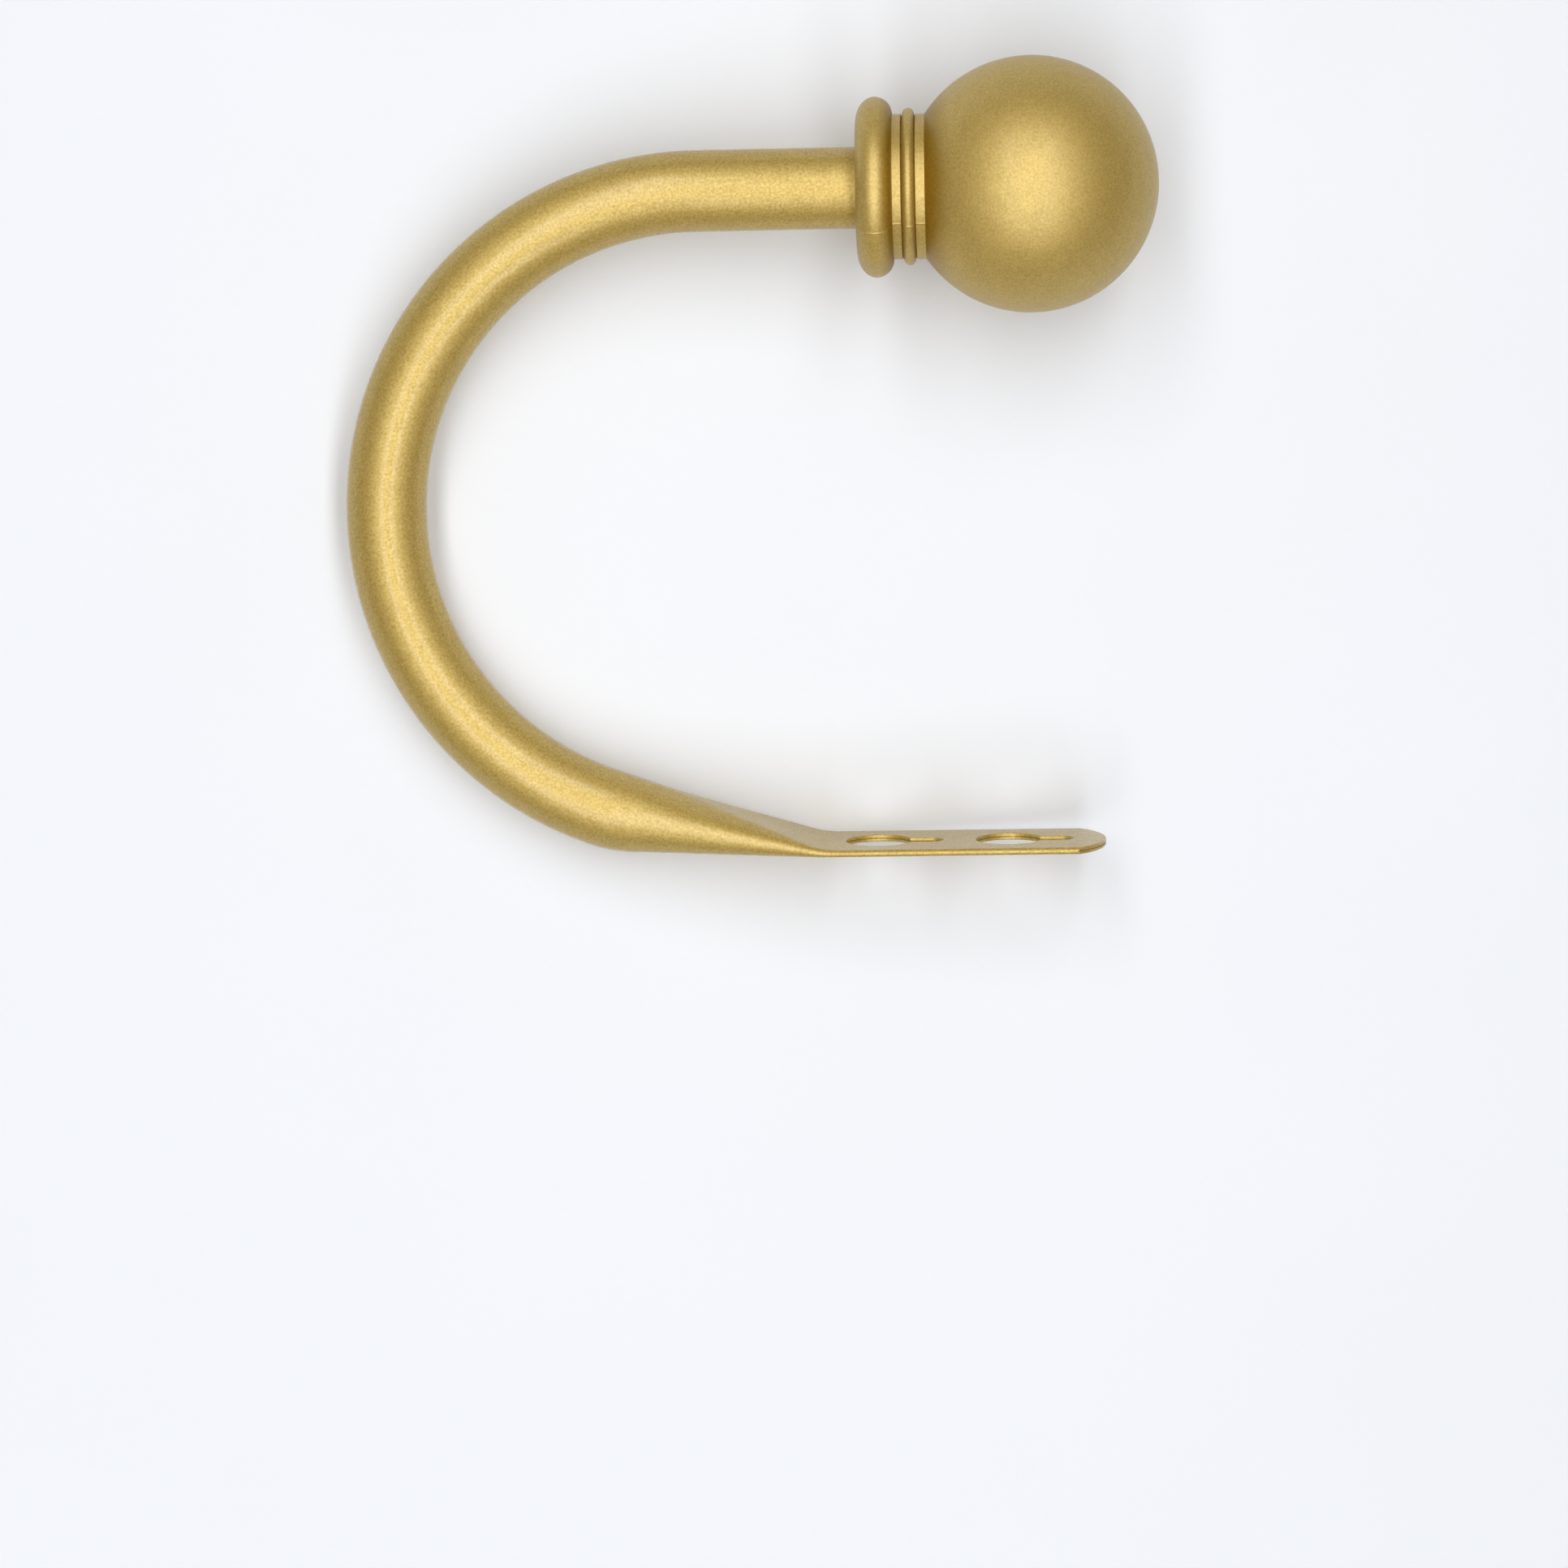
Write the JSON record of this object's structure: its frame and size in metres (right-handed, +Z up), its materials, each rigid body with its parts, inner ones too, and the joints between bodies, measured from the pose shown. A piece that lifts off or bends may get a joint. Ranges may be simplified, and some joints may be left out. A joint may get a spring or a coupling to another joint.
{
  "type": "curtain holdback",
  "caption": "U-shaped curtain holdback of bent round tube, pressed flat at the wall end into a keyhole tab, with a collared ball finial at the room end.",
  "frame": {"origin": "midway between the two keyhole entries, on the face of the tab that bears on the wall", "axes": "+Y into the wall, square to the tab; +Z up; the U lies in the plane z = 0 with its mouth towards -X"},
  "size_m": [0.1621, 0.1562, 0.05],
  "materials": {
    "tube": "satin",
    "finial": "satin"
  },
  "bodies": {
    "root": {"arm": "tube", "finial": "finial"}
  },
  "joints": []
}
